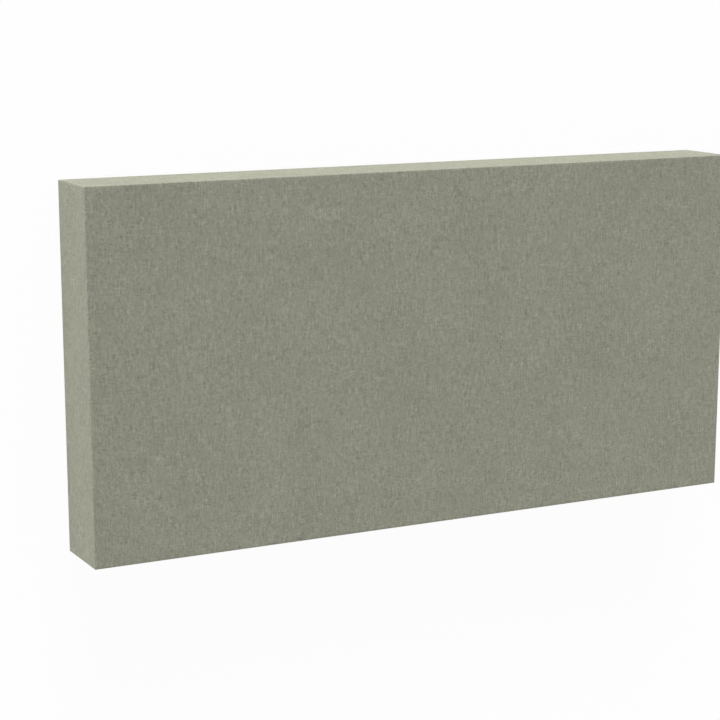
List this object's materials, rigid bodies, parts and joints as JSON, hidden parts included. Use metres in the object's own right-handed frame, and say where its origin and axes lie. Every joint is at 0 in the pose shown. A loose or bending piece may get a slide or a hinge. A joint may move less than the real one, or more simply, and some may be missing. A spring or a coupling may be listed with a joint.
{
  "type": "fabric acoustic wall panel",
  "caption": "Rectangular sound-absorbing wall panel: a timber frame filled with mineral wool and wrapped in grey-green woven cloth.",
  "frame": {"origin": "middle of the back, on the plane that the panel lies on", "axes": "+X along the long side, +Y towards the upper edge of the panel as it hangs, +Z out of the front face"},
  "size_m": [1, 0.5, 0.1],
  "materials": {
    "acoustic_cloth": "matt heathered plain weave, grey-green",
    "non_woven": "matt black non-woven",
    "softwood": "planed, unfinished",
    "mineral_wool": "matt fibrous",
    "staple_wire": "galvanised wire"
  },
  "bodies": {
    "root": {"fabric_cover": "acoustic_cloth", "back_cloth": "non_woven", "frame_rail_upper": "softwood", "frame_rail_lower": "softwood", "frame_rail_left": "softwood", "frame_rail_right": "softwood", "frame_brace": "softwood", "wool_slab_front": "mineral_wool", "wool_slab_back_left": "mineral_wool", "wool_slab_back_right": "mineral_wool"}
  },
  "joints": []
}
